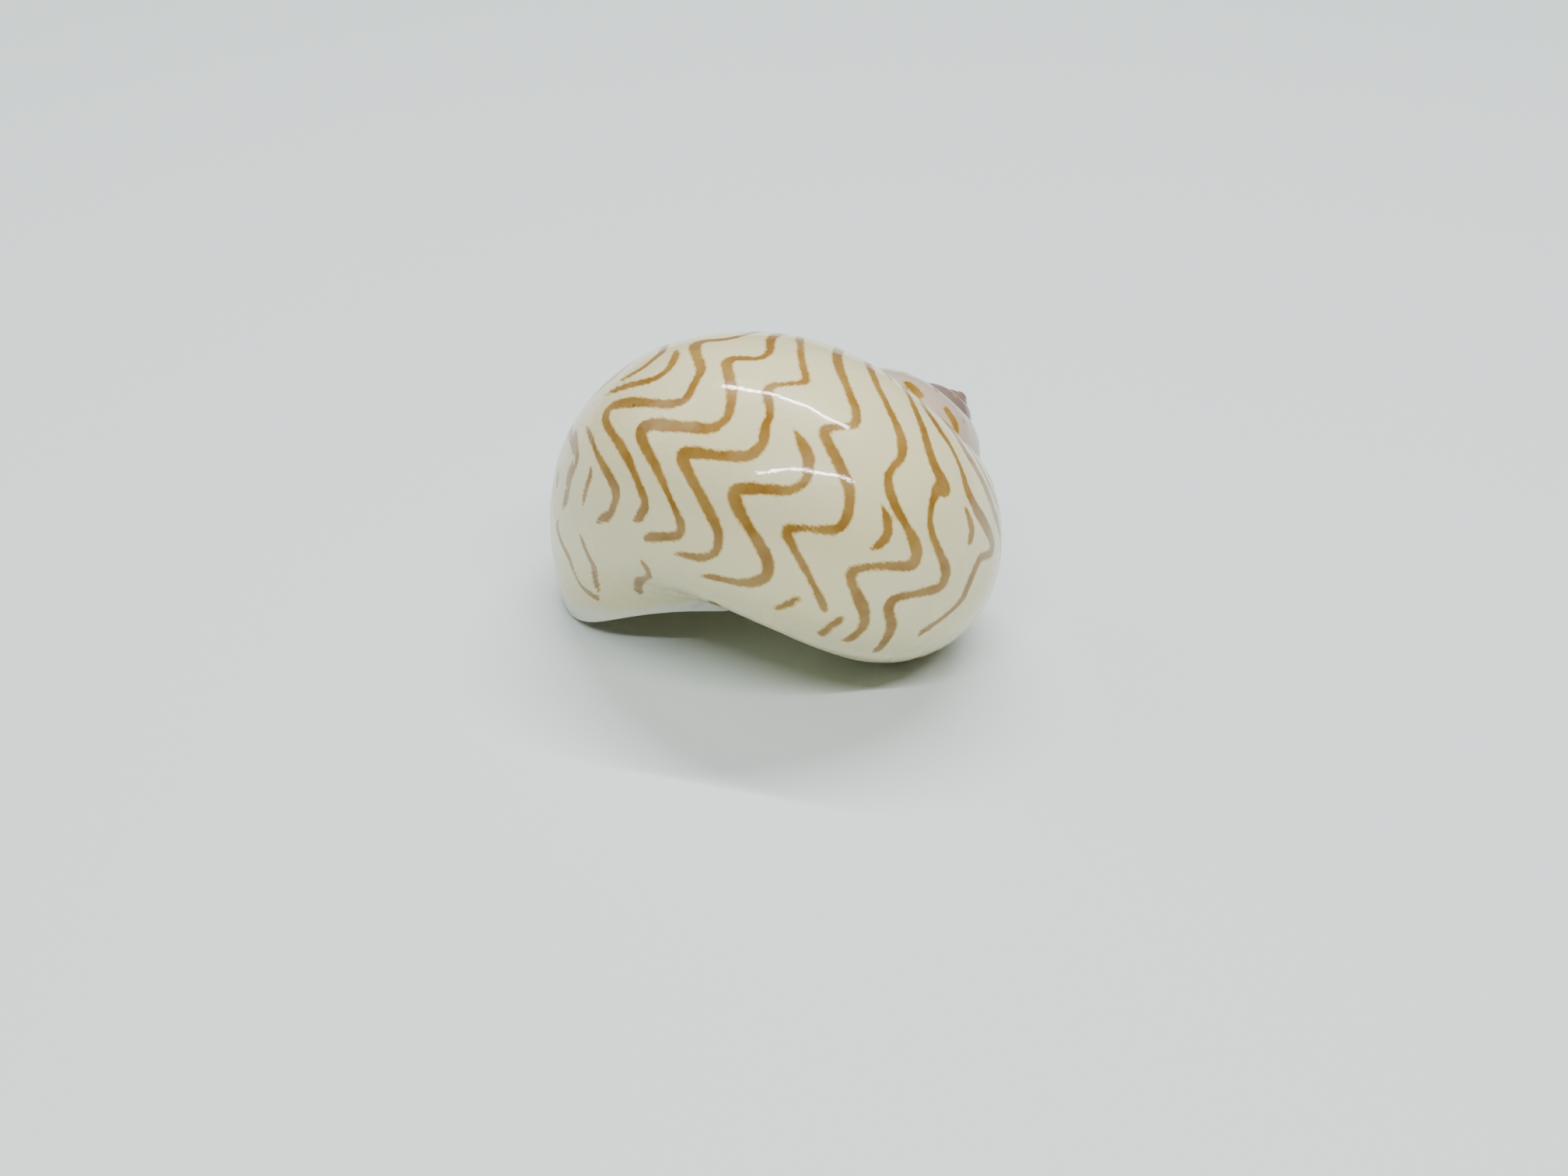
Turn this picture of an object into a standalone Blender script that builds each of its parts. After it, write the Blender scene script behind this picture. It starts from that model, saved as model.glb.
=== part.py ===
"""Shell of a small moon snail with a low spire: one hollow solid in metres, +Z up.

The shell is a tube whose cross-section grows by a fixed ratio with every turn around the coiling axis. In the
shell's own axes the apex is at the origin, the coiling axis runs down to the base along -Z, and the tube turns
clockwise as seen from the apex. The finished shell lies on its lip and body whorl, with its mouth down.
"""

import math

import bmesh
import bpy
from mathutils import Matrix, Vector

# Growth of the coil
GROWTH_PER_TURN = 2.346
LIP_MEAN = -1.0
LIP_WAVES = ((17.5, 4.1), (2.4, 2.6))
INNER_LIP_SETBACK = 40.0
INNER_LIP_ANGLE = 210.0
INNER_LIP_SPREAD = 25.0
LIP_LOBE_REACH = 58.0
LIP_LOBE_ANGLE = 170.0
LIP_LOBE_SPREAD = 19.0
APEX_RISE = 0.05e-3
WHORLS = 4
WHORL_TURNS = 0.9

# Cross-section of the whorl at the lip
COIL_RADIUS = 5.86e-3
COIL_DROP = 11.04e-3
HALF_WIDTH = 6.43e-3
HALF_HEIGHT = 8.63e-3
SECTION_TILT = math.radians(17.7)
ROUNDNESS = 1.94
SHOULDER = -0.113
BASE_SWELL = -0.079

# Umbilicus, callus and walls
UMBILICUS_RADIUS = 0.9e-3
UMBILICUS_SOFTNESS = 0.64e-3
CALLUS_HEIGHT = 0.7e-3
CALLUS_ANGLE = math.radians(190)
CALLUS_SPREAD = math.radians(20)
CALLUS_REACH = math.radians(70)
WALL = 0.55e-3
LIP_WALL = 0.30e-3
COLUMELLA_WALL = 0.60e-3
COLUMELLA_ANGLE = math.radians(205)
CAVITY_TURNS = 0.8
CAVITY_OVERRUN = 0.12

# Solid core of the spire, and the rounded tip
CORE_TOP = (0.3e-3, 0.15e-3)
CORE_FLOOR = (7.0e-3, 1.0e-3)
CORE_SIDES = 20
TIP_DEPTH = 0.42e-3
TIP_RADIUS = 0.40e-3

# Resting position
SPIN = math.radians(87.6)
TILT = math.radians(55.9)
HEADING = math.radians(29.9)

# Fineness of the lofts
SECTION_POINTS = 36
STEPS_IN_WHORL = (42, 30, 18, 12)
CAVITY_POINTS = 30
CAVITY_STEPS = 28
PLUG_REACH = math.radians(7)
PLUG_SHRINK = 0.06

FULL_TURN = 2 * math.pi
GROWTH_RATE = math.log(GROWTH_PER_TURN) / FULL_TURN


def section(angle):
    """Radius and height of the whorl's outline at the lip; 0 is outermost, a quarter turn is the suture side."""
    power = 2 / ROUNDNESS
    cos, sin = math.cos(angle), math.sin(angle)
    across = HALF_WIDTH * math.copysign(abs(cos) ** power, cos) * (1 + SHOULDER * sin)
    along = HALF_HEIGHT * math.copysign(abs(sin) ** power, sin) * (1 + BASE_SWELL * cos)
    radius = COIL_RADIUS + across * math.cos(SECTION_TILT) - along * math.sin(SECTION_TILT)
    height = -COIL_DROP + across * math.sin(SECTION_TILT) + along * math.cos(SECTION_TILT)
    spare = (radius - UMBILICUS_RADIUS) / UMBILICUS_SOFTNESS
    radius = UMBILICUS_RADIUS + UMBILICUS_SOFTNESS * math.log1p(math.exp(spare))
    return radius, height


def offset_section(angle, outwards):
    """The outline moved square to itself."""
    step = 1e-3
    before, after = section(angle - step), section(angle + step)
    along = Vector((after[0] - before[0], after[1] - before[1])).normalized()
    radius, height = section(angle)
    return radius + outwards * along.y, height - outwards * along.x


def lip_lean(angle):
    """How far the lip runs ahead, in radians of turn: ahead at the outer side, set far back at the inner lip."""
    degrees = math.degrees(angle) % 360
    lean = LIP_MEAN - INNER_LIP_SETBACK * math.exp(-((degrees - INNER_LIP_ANGLE) / INNER_LIP_SPREAD) ** 2)
    lean += LIP_LOBE_REACH * math.exp(-((degrees - LIP_LOBE_ANGLE) / LIP_LOBE_SPREAD) ** 2)
    for times, (cos_part, sin_part) in enumerate(LIP_WAVES, start=1):
        lean += cos_part * math.cos(times * angle) + sin_part * math.sin(times * angle)
    return math.radians(lean)


def callus(turn, angle):
    """Height of the pad that thickens the inner lip beside the umbilicus."""
    near_lip = min(1.0, max(0.0, 1 + (turn - lip_lean(angle)) / CALLUS_REACH))
    return CALLUS_HEIGHT * near_lip ** 2 * math.exp(-((angle - CALLUS_ANGLE) / CALLUS_SPREAD) ** 2)


def whorl_point(turn, radius, height):
    """A point of the growing tube; turn is 0 at the lip and falls towards the apex."""
    scale = math.exp(GROWTH_RATE * turn)
    rise = APEX_RISE * (1 - math.sqrt(scale))
    return Vector((scale * radius * math.cos(turn), -scale * radius * math.sin(turn), scale * height + rise))


def wall_at(turn, angle):
    """Wall thickness: thin at the outer lip, thick along the columella."""
    inward = max(0.0, min(1.0, (lip_lean(angle) - turn) / math.radians(60)))
    thin = LIP_WALL + (WALL - LIP_WALL) * inward
    return thin + COLUMELLA_WALL * max(0.0, math.cos(angle - COLUMELLA_ANGLE)) ** 2


def ring_points(turns, outlines):
    return [whorl_point(turn, *outline) for turn, outline in zip(turns, outlines)]


def whorl_rings(start, end, steps, to_lip=False):
    """Rings of the outer surface, from a start turn to an end turn or to the lip that leans around it."""
    angles = [FULL_TURN * index / SECTION_POINTS for index in range(SECTION_POINTS)]
    rings = []
    for step in range(steps + 1):
        part = step / steps
        turns = [start + (end + (lip_lean(angle) if to_lip else 0) - start) * part for angle in angles]
        outlines = [offset_section(angle, callus(turn, angle)) for turn, angle in zip(turns, angles)]
        rings.append(ring_points(turns, outlines))
    return rings


def plug_ring(end):
    """One smaller ring beyond the end of an early whorl, so that it reaches into the whorl that follows."""
    outlines = []
    for index in range(SECTION_POINTS):
        radius, height = section(FULL_TURN * index / SECTION_POINTS)
        outlines.append((
            radius + (COIL_RADIUS - radius) * PLUG_SHRINK,
            height - (COIL_DROP + height) * PLUG_SHRINK,
        ))
    return ring_points([end + PLUG_REACH] * SECTION_POINTS, outlines)


def cavity_rings():
    """Rings of the hollow, from its blind end to just beyond the lip."""
    angles = [FULL_TURN * index / CAVITY_POINTS for index in range(CAVITY_POINTS)]
    start = -CAVITY_TURNS * FULL_TURN
    rings = []
    for step in range(CAVITY_STEPS + 1):
        part = step / CAVITY_STEPS
        turns = [start + (CAVITY_OVERRUN + lip_lean(angle) - start) * part for angle in angles]
        outlines = [offset_section(angle, -wall_at(turn, angle)) for turn, angle in zip(turns, angles)]
        rings.append(ring_points(turns, outlines))
    return rings


def mesh_object(name, mesh):
    data = bpy.data.meshes.new(name)
    mesh.to_mesh(data)
    mesh.free()
    return bpy.data.objects.new(name, data)


def loft(name, rings):
    """A closed tube through rings of points, each end closed by a fan around the ring's middle."""
    mesh = bmesh.new()
    rows = [[mesh.verts.new(point) for point in ring] for ring in rings]
    count = len(rings[0])
    for row, following in zip(rows, rows[1:]):
        for index in range(count):
            after = (index + 1) % count
            mesh.faces.new((row[index], row[after], following[after], following[index]))
    for row in (rows[0], rows[-1]):
        middle = mesh.verts.new(sum((vertex.co for vertex in row), Vector()) / count)
        for index in range(count):
            mesh.faces.new((row[index], row[(index + 1) % count], middle))
    bmesh.ops.recalc_face_normals(mesh, faces=mesh.faces)
    return mesh_object(name, mesh)


def core():
    """A cone along the coiling axis that fills the early whorls' middle and is the umbilicus's floor."""
    mesh = bmesh.new()
    depth = CORE_FLOOR[0] - CORE_TOP[0]
    middle = Matrix.Translation((0, 0, -(CORE_FLOOR[0] + CORE_TOP[0]) / 2))
    bmesh.ops.create_cone(mesh, cap_ends=True, segments=CORE_SIDES, radius1=CORE_FLOOR[1], radius2=CORE_TOP[1],
                          depth=depth, matrix=middle)
    return mesh_object("core", mesh)


def tip():
    """The rounded start of the shell at the apex."""
    mesh = bmesh.new()
    bmesh.ops.create_uvsphere(mesh, u_segments=16, v_segments=8, radius=TIP_RADIUS,
                              matrix=Matrix.Translation((0, 0, APEX_RISE - TIP_DEPTH)))
    return mesh_object("tip", mesh)


def boolean(target, name, operation):
    modifier = target.modifiers.new(name, "BOOLEAN")
    modifier.operation = operation
    modifier.solver = "EXACT"
    return modifier


def make_collection(name):
    collection = bpy.data.collections.new(name)
    bpy.context.scene.collection.children.link(collection)
    return collection


def shell_material():
    material = bpy.data.materials.new("shell")
    material.use_nodes = True
    surface = material.node_tree.nodes["Principled BSDF"]
    surface.inputs["Base Color"].default_value = (0.86, 0.79, 0.66, 1)
    surface.inputs["Roughness"].default_value = 0.22
    surface.inputs["Metallic"].default_value = 0
    return material


def lay_down(shell, frame):
    """Turns the shell's axes to the resting position, with the middle of the underside's box at the origin."""
    frame.matrix_world = (
        Matrix.Rotation(HEADING, 4, "Z") @ Matrix.Rotation(TILT, 4, "Y") @ Matrix.Rotation(SPIN, 4, "Z")
    )
    bpy.context.view_layer.update()
    evaluated = shell.evaluated_get(bpy.context.evaluated_depsgraph_get())
    corners = [frame.matrix_world @ vertex.co for vertex in evaluated.data.vertices]
    low = Vector(min(corner[axis] for corner in corners) for axis in range(3))
    high = Vector(max(corner[axis] for corner in corners) for axis in range(3))
    frame.location = (-(low.x + high.x) / 2, -(low.y + high.y) / 2, -low.z)


def add_tool(tool, collection, frame):
    collection.objects.link(tool)
    tool.parent = frame
    tool.hide_render = True
    tool.display_type = "WIRE"
    return tool


def build():
    for old in list(bpy.data.objects):
        bpy.data.objects.remove(old)
    parts = make_collection("moon_snail_shell")
    cutters = make_collection("cutters")
    earlier = make_collection("earlier_whorls")

    frame = bpy.data.objects.new("coiling_axis", None)
    parts.objects.link(frame)
    span = WHORL_TURNS * FULL_TURN
    shell = loft("shell", whorl_rings(-span, 0, STEPS_IN_WHORL[0], to_lip=True))
    shell.data.materials.append(shell_material())
    parts.objects.link(shell)
    shell.parent = frame

    cavity = add_tool(loft("cavity", cavity_rings()), cutters, frame)
    boolean(shell, "hollow", "DIFFERENCE").object = cavity
    for number in range(1, WHORLS):
        rings = whorl_rings(-span * (number + 1), -span * number, STEPS_IN_WHORL[number])
        rings.append(plug_ring(-span * number))
        add_tool(loft(f"whorl_{number}", rings), earlier, frame)
    add_tool(core(), earlier, frame)
    add_tool(tip(), earlier, frame)
    joined = boolean(shell, "earlier whorls", "UNION")
    joined.operand_type = "COLLECTION"
    joined.collection = earlier
    lay_down(shell, frame)


build()
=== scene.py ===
import math

import bmesh
import bpy
import numpy as np
from mathutils import Matrix, Vector
from mathutils.bvhtree import BVHTree
from mathutils.interpolate import poly_3d_calc
from mathutils.kdtree import KDTree


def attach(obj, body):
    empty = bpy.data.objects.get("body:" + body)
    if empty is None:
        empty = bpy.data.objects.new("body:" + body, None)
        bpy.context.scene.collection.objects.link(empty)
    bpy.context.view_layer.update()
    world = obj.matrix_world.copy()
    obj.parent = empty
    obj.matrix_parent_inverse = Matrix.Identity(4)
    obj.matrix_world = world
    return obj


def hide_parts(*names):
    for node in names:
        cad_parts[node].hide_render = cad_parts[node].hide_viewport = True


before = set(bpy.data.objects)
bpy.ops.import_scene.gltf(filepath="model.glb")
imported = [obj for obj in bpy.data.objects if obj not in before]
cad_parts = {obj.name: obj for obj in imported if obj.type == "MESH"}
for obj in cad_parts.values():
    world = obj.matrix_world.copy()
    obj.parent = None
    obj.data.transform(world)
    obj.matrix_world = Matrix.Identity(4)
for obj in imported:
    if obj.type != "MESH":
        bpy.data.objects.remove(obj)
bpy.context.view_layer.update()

# Growth of the coil, in the shell's own axes: apex at the origin, coiling axis down along -Z
FULL_TURN = 2 * math.pi
GROWTH_PER_TURN = 2.346
GROWTH_RATE = math.log(GROWTH_PER_TURN) / FULL_TURN
APEX_RISE = 0.05e-3
LIP_MEAN = -1.0
LIP_WAVES = ((17.5, 4.1), (2.4, 2.6))
INNER_LIP_SETBACK = 40.0
INNER_LIP_ANGLE = 210.0
INNER_LIP_SPREAD = 25.0
LIP_LOBE_REACH = 58.0
LIP_LOBE_ANGLE = 170.0
LIP_LOBE_SPREAD = 19.0
WHORL_TURNS = 0.9

# Cross-section of the whorl at the lip
COIL_RADIUS = 5.86e-3
COIL_DROP = 11.04e-3
HALF_WIDTH = 6.43e-3
HALF_HEIGHT = 8.63e-3
SECTION_TILT = math.radians(17.7)
ROUNDNESS = 1.94
SHOULDER = -0.113
BASE_SWELL = -0.079
UMBILICUS_RADIUS = 0.9e-3
UMBILICUS_SOFTNESS = 0.64e-3

# Callus and walls
CALLUS_HEIGHT = 0.7e-3
CALLUS_ANGLE = math.radians(-170)
CALLUS_SPREAD = math.radians(20)
CALLUS_REACH = math.radians(70)
WALL = 0.55e-3
LIP_WALL = 0.26e-3
WALL_REACH = math.radians(60)
COLUMELLA_WALL = 0.60e-3
COLUMELLA_ANGLE = math.radians(-155)
CAVITY_TURNS = 0.8
GROWTH_WAVE = 0.012e-3

# Core, as depth below the apex and radius at both ends, and tip
CORE_TOP = (0.3e-3, 0.15e-3)
CORE_FLOOR = (7.0e-3, 1.0e-3)
TIP_DEPTH = 0.42e-3
TIP_RADIUS = 0.40e-3
TIP_TURN = -3.0 * FULL_TURN

# Resting position
SPIN = math.radians(87.6)
TILT = math.radians(55.9)
HEADING = math.radians(29.9)

# Fineness
AROUND = 184
BODY_STEPS = 320
CAVITY_STEPS = 110
EARLIER_WHORLS = ((120, 110), (84, 64), (48, 40))
LIP_ROUNDING = (20, 50, 90, 130, 160)
LEAST_LIP_RADIUS = 4e-3
PLUG_REACH = math.radians(7)
PLUG_SHRINK = 0.06
CORE_AROUND = 48
TIP_AROUND = 32
TIP_SLICES = 14
TIP_CUT = 86

# Which surface a face belongs to, kept as its material index through the joining
OUTSIDE, INSIDE, EARLIER, CORE, PARIETAL = range(5)
SLOT_OF_KIND = np.array([0, 1, 0, 2, 2], np.int32)


def section(angle):
    """Radius and height of the whorl's outline; 0 is outermost, a quarter turn is the suture side."""
    power = 2 / ROUNDNESS
    cos, sin = np.cos(angle), np.sin(angle)
    across = HALF_WIDTH * np.sign(cos) * np.abs(cos) ** power * (1 + SHOULDER * sin)
    along = HALF_HEIGHT * np.sign(sin) * np.abs(sin) ** power * (1 + BASE_SWELL * cos)
    radius = COIL_RADIUS + across * math.cos(SECTION_TILT) - along * math.sin(SECTION_TILT)
    height = -COIL_DROP + across * math.sin(SECTION_TILT) + along * math.cos(SECTION_TILT)
    spare = (radius - UMBILICUS_RADIUS) / UMBILICUS_SOFTNESS
    return UMBILICUS_RADIUS + UMBILICUS_SOFTNESS * np.log1p(np.exp(spare)), height


def offset_section(angle, outwards):
    """The outline moved square to itself."""
    step = 1e-3
    before, after = section(angle - step), section(angle + step)
    along = np.stack([after[0] - before[0], after[1] - before[1]])
    along = along / np.linalg.norm(along, axis=0)
    radius, height = section(angle)
    return radius + outwards * along[1], height - outwards * along[0]


def lip_lean(angle):
    """How far the lip runs ahead, in radians of turn; the inner lip is set far back."""
    degrees = np.degrees(angle) % 360
    lean = LIP_MEAN - INNER_LIP_SETBACK * np.exp(-((degrees - INNER_LIP_ANGLE) / INNER_LIP_SPREAD) ** 2)
    lean = lean + LIP_LOBE_REACH * np.exp(-((degrees - LIP_LOBE_ANGLE) / LIP_LOBE_SPREAD) ** 2)
    for times, (cos_part, sin_part) in enumerate(LIP_WAVES, start=1):
        lean = lean + cos_part * np.cos(times * angle) + sin_part * np.sin(times * angle)
    return np.radians(lean)


def callus(turn, angle):
    """Height of the pad that thickens the inner lip beside the umbilicus."""
    near_lip = np.clip(1 + (turn - lip_lean(angle)) / CALLUS_REACH, 0, 1)
    away = (angle - CALLUS_ANGLE + math.pi) % FULL_TURN - math.pi
    return CALLUS_HEIGHT * near_lip ** 2 * np.exp(-(away / CALLUS_SPREAD) ** 2)


def wall_at(turn, angle):
    """Wall thickness: thin at the outer lip, thick along the columella."""
    inward = np.clip((lip_lean(angle) - turn) / WALL_REACH, 0, 1)
    columella = np.maximum(0, np.cos(angle - COLUMELLA_ANGLE)) ** 2
    return LIP_WALL + (WALL - LIP_WALL) * inward + COLUMELLA_WALL * columella


def whorl_point(turn, radius, height):
    """A point of the growing tube; turn is 0 at the lip and falls towards the apex."""
    scale = np.exp(GROWTH_RATE * turn)
    rise = APEX_RISE * (1 - np.sqrt(scale))
    out = scale * radius
    return np.stack([out * np.cos(turn), -out * np.sin(turn), scale * height + rise], axis=-1)


def angles_around(count):
    return -math.pi + FULL_TURN * np.arange(count) / count


def growth_wave(turns):
    """Very low ridges left by growth, running from suture to base."""
    wave = np.sin(13.7 * turns) + 0.6 * np.sin(23.1 * turns + 1.3) + 0.4 * np.sin(37.7 * turns + 0.4)
    return GROWTH_WAVE * np.exp(GROWTH_RATE * turns) * wave


def outer_ring(turns, angles):
    return whorl_point(turns, *offset_section(angles, callus(turns, angles) + growth_wave(turns)))


def inner_ring(turns, angles):
    return whorl_point(turns, *offset_section(angles, -wall_at(turns, angles)))


def lip_ring(angles, bend):
    """One ring of the lip's rounded edge; bend runs from 0 outside to half a turn inside."""
    turns = lip_lean(angles)
    outside = callus(turns, angles)
    inside = -wall_at(turns, angles)
    share = (1 - math.cos(bend)) / 2
    radius, height = offset_section(angles, outside + (inside - outside) * share)
    ahead = (outside - inside) / 2 * math.sin(bend) / np.maximum(radius, LEAST_LIP_RADIUS)
    return whorl_point(turns + ahead, radius, height), turns + ahead


def keep_on_corners(mesh, name, first, second):
    """Stores two values on each face corner, as a layer that the joining and the materials can read."""
    layer = mesh.uv_layers.new(name=name)
    layer.data.foreach_set("uv", np.stack([first, second], -1).astype(np.float32).ravel())


def corner_coil(mesh):
    """The turn and the angle of each face corner, in whole turns."""
    coil = np.empty(2 * len(mesh.loops), np.float32)
    mesh.uv_layers["coil"].data.foreach_get("uv", coil)
    return coil.reshape(-1, 2)


def corner_vertices(mesh):
    """The vertex of each face corner."""
    vertices = np.empty(len(mesh.loops), np.int32)
    mesh.loops.foreach_get("vertex_index", vertices)
    return vertices


def face_kinds(mesh):
    """Which surface each face belongs to."""
    kinds = np.empty(len(mesh.polygons), np.int32)
    mesh.polygons.foreach_get("material_index", kinds)
    return kinds


def loft_mesh(name, rings, turns, kinds, angles):
    """A closed tube through rings of points. Each face corner keeps its turn and its angle."""
    count = len(angles)
    rows = len(rings)
    points = np.concatenate([np.concatenate(rings), [rings[0].mean(axis=0)], [rings[-1].mean(axis=0)]])
    row, column = np.meshgrid(np.arange(rows - 1), np.arange(count), indexing="ij")
    after = (column + 1) % count
    here, above = row * count, (row + 1) * count
    quads = np.stack([here + column, here + after, above + after, above + column], -1).reshape(-1, 4)
    wrapped = angles[column] + FULL_TURN / count
    quad_angles = np.stack([angles[column], wrapped, wrapped, angles[column]], -1).reshape(-1)
    all_turns = np.array(turns)
    quad_turns = np.stack([all_turns[row, column], all_turns[row, after], all_turns[row + 1, after],
                           all_turns[row + 1, column]], -1).reshape(-1)
    ring = np.arange(count)
    start_cap = np.stack([(ring + 1) % count, ring, np.full(count, rows * count)], -1)
    last = (rows - 1) * count
    end_cap = np.stack([last + ring, last + (ring + 1) % count, np.full(count, rows * count + 1)], -1)
    caps = np.concatenate([start_cap, end_cap])
    faces = quads.tolist() + caps.tolist()
    mesh = bpy.data.meshes.new(name)
    mesh.from_pydata(points.tolist(), [], faces)
    cap_turns = np.repeat([all_turns[0].mean(), all_turns[-1].mean()], 3 * count)
    corner_turns = np.concatenate([quad_turns, cap_turns])
    corner_angles = np.concatenate([quad_angles, np.zeros(6 * count)])
    keep_on_corners(mesh, "coil", corner_turns / FULL_TURN, corner_angles / FULL_TURN)
    kind = np.concatenate([np.repeat(kinds, count), np.repeat([kinds[0], kinds[-1]], count)])
    mesh.polygons.foreach_set("material_index", kind.astype(np.int32))
    return mesh


def keep_normals(mesh):
    """Stores each vertex's smooth normal on its face corners, so that the joining carries it along."""
    normals = np.empty(3 * len(mesh.vertices), np.float32)
    mesh.vertex_normals.foreach_get("vector", normals)
    kept = mesh.attributes.new("smooth_normal", "FLOAT_VECTOR", "CORNER")
    kept.data.foreach_set("vector", normals.reshape(-1, 3)[corner_vertices(mesh)].ravel())


def body_mesh():
    """The last whorl: out along its outside, round the lip and back along the hollow."""
    angles = angles_around(AROUND)
    start = -WHORL_TURNS * FULL_TURN
    lip = lip_lean(angles)
    rings, turns, kinds = [], [], []
    for part in np.linspace(0, 1, BODY_STEPS + 1):
        here = start + (lip - start) * part
        rings.append(outer_ring(here, angles))
        turns.append(here)
        kinds.append(OUTSIDE)
    for bend in LIP_ROUNDING:
        points, here = lip_ring(angles, math.radians(bend))
        rings.append(points)
        turns.append(here)
        kinds.append(OUTSIDE if bend < 90 else INSIDE)
    blind_end = -CAVITY_TURNS * FULL_TURN
    for part in np.linspace(0, 1, CAVITY_STEPS + 1):
        here = lip + (blind_end - lip) * part
        rings.append(inner_ring(here, angles))
        turns.append(here)
        kinds.append(INSIDE)
    return loft_mesh("body", rings, turns, kinds[:-1], angles)


def earlier_mesh(number, count, steps):
    """An earlier whorl, ending in a smaller ring that reaches into the whorl that follows."""
    angles = angles_around(count)
    span = WHORL_TURNS * FULL_TURN
    end = -span * number
    rings, turns = [], []
    for here in np.linspace(end - span, end, steps + 1):
        rings.append(whorl_point(np.full(count, here), *section(angles)))
        turns.append(np.full(count, here))
    radius, height = section(angles)
    plug = (radius + (COIL_RADIUS - radius) * PLUG_SHRINK, height - (COIL_DROP + height) * PLUG_SHRINK)
    rings.append(whorl_point(np.full(count, end + PLUG_REACH), *plug))
    turns.append(np.full(count, end + PLUG_REACH))
    return loft_mesh(f"whorl_{number}", rings, turns, [EARLIER] * (steps + 1), angles)


def round_mesh(name, profile, count, kind):
    """A solid of revolution on the coiling axis, from a list of radii and heights."""
    angles = angles_around(count)
    rings = [np.stack([radius * np.cos(angles), radius * np.sin(angles), np.full(count, height)], -1)
             for radius, height in profile]
    turns = [np.full(count, TIP_TURN)] * len(rings)
    return loft_mesh(name, rings, turns, [kind] * (len(rings) - 1), angles)


def core_mesh():
    profile = [(radius, -depth) for depth, radius in (CORE_TOP, CORE_FLOOR)]
    return round_mesh("core", profile, CORE_AROUND, CORE)


def tip_mesh():
    slices = np.radians(np.linspace(TIP_CUT, -TIP_CUT, TIP_SLICES))
    middle = APEX_RISE - TIP_DEPTH
    profile = [(TIP_RADIUS * math.cos(up), middle + TIP_RADIUS * math.sin(up)) for up in slices]
    return round_mesh("tip", profile, TIP_AROUND, EARLIER)


def outward(mesh):
    """Turns the faces outwards where a loft came out inside out."""
    work = bmesh.new()
    work.from_mesh(mesh)
    if work.calc_volume(signed=True) < 0:
        bmesh.ops.reverse_faces(work, faces=work.faces)
    work.to_mesh(mesh)
    work.free()


def joined_shell():
    """All whorls joined to one closed surface."""
    meshes = [body_mesh(), core_mesh()]
    meshes += [earlier_mesh(number, *fineness) for number, fineness in enumerate(EARLIER_WHORLS, start=1)]
    meshes.append(tip_mesh())
    slots = [bpy.data.materials.new(f"slot_{index}") for index in range(5)]
    objects = []
    for mesh in meshes:
        outward(mesh)
        keep_normals(mesh)
        for slot in slots:
            mesh.materials.append(slot)
        piece = bpy.data.objects.new(mesh.name, mesh)
        bpy.context.scene.collection.objects.link(piece)
        objects.append(piece)
    body = objects[0]
    for piece in objects[1:]:
        joining = body.modifiers.new(piece.name, "BOOLEAN")
        joining.operation = "UNION"
        joining.solver = "MANIFOLD"
        joining.object = piece
    bpy.context.view_layer.update()
    evaluated = body.evaluated_get(bpy.context.evaluated_depsgraph_get())
    mesh = bpy.data.meshes.new_from_object(evaluated)
    for piece in objects:
        old = piece.data
        bpy.data.objects.remove(piece)
        bpy.data.meshes.remove(old)
    for slot in slots:
        bpy.data.materials.remove(slot)
    mesh.name = "shell_surface"
    return mesh


def lay_down(mesh):
    """Turns the shell to its resting position, centred on the origin with its lowest point at height 0."""
    attitude = Matrix.Rotation(HEADING, 4, "Z") @ Matrix.Rotation(TILT, 4, "Y")
    attitude = attitude @ Matrix.Rotation(SPIN, 4, "Z")
    mesh.transform(attitude)
    points = np.empty(3 * len(mesh.vertices), np.float32)
    mesh.vertices.foreach_get("co", points)
    points = points.reshape(-1, 3)
    low, high = points.min(axis=0), points.max(axis=0)
    middle = (low + high) / 2
    move = Vector((-middle[0], -middle[1], -low[2]))
    mesh.transform(Matrix.Translation(move))
    return attitude


def in_tube(points):
    """True where a point of the shell's own axes lies inside the last whorl's tube, before its lip."""
    radius = np.hypot(points[:, 0], points[:, 1])
    turn = np.arctan2(-points[:, 1], points[:, 0])
    outline = angles_around(720)
    outline_radius, outline_height = section(outline)
    outline_across, outline_along = outline_radius - COIL_RADIUS, outline_height + COIL_DROP
    bearing = np.arctan2(outline_along, outline_across)
    reach = np.hypot(outline_along, outline_across)
    order = np.argsort(bearing)
    inside = np.zeros(len(points), bool)
    for lap in (0, -1):
        here = turn + lap * FULL_TURN
        scale = np.exp(GROWTH_RATE * here)
        rise = APEX_RISE * (1 - np.sqrt(scale))
        across = radius / scale - COIL_RADIUS
        along = (points[:, 2] - rise) / scale + COIL_DROP
        angle = np.arctan2(along, across)
        limit = np.interp(angle, bearing[order], reach[order], period=FULL_TURN)
        nearest = np.interp(angle, bearing[order], outline[order])
        in_hollow = (here < lip_lean(nearest)) & (here > -CAVITY_TURNS * FULL_TURN)
        inside |= (np.hypot(across, along) < limit * 0.99) & in_hollow
    return inside


def mark_parietal_wall(mesh):
    """Marks the part of the earlier whorls that shows inside the mouth."""
    centres = np.empty(3 * len(mesh.polygons), np.float32)
    mesh.polygons.foreach_get("center", centres)
    kinds = face_kinds(mesh)
    parietal = (kinds >= EARLIER) & in_tube(centres.reshape(-1, 3))
    kinds[parietal] = PARIETAL
    mesh.polygons.foreach_set("material_index", kinds)


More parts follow.
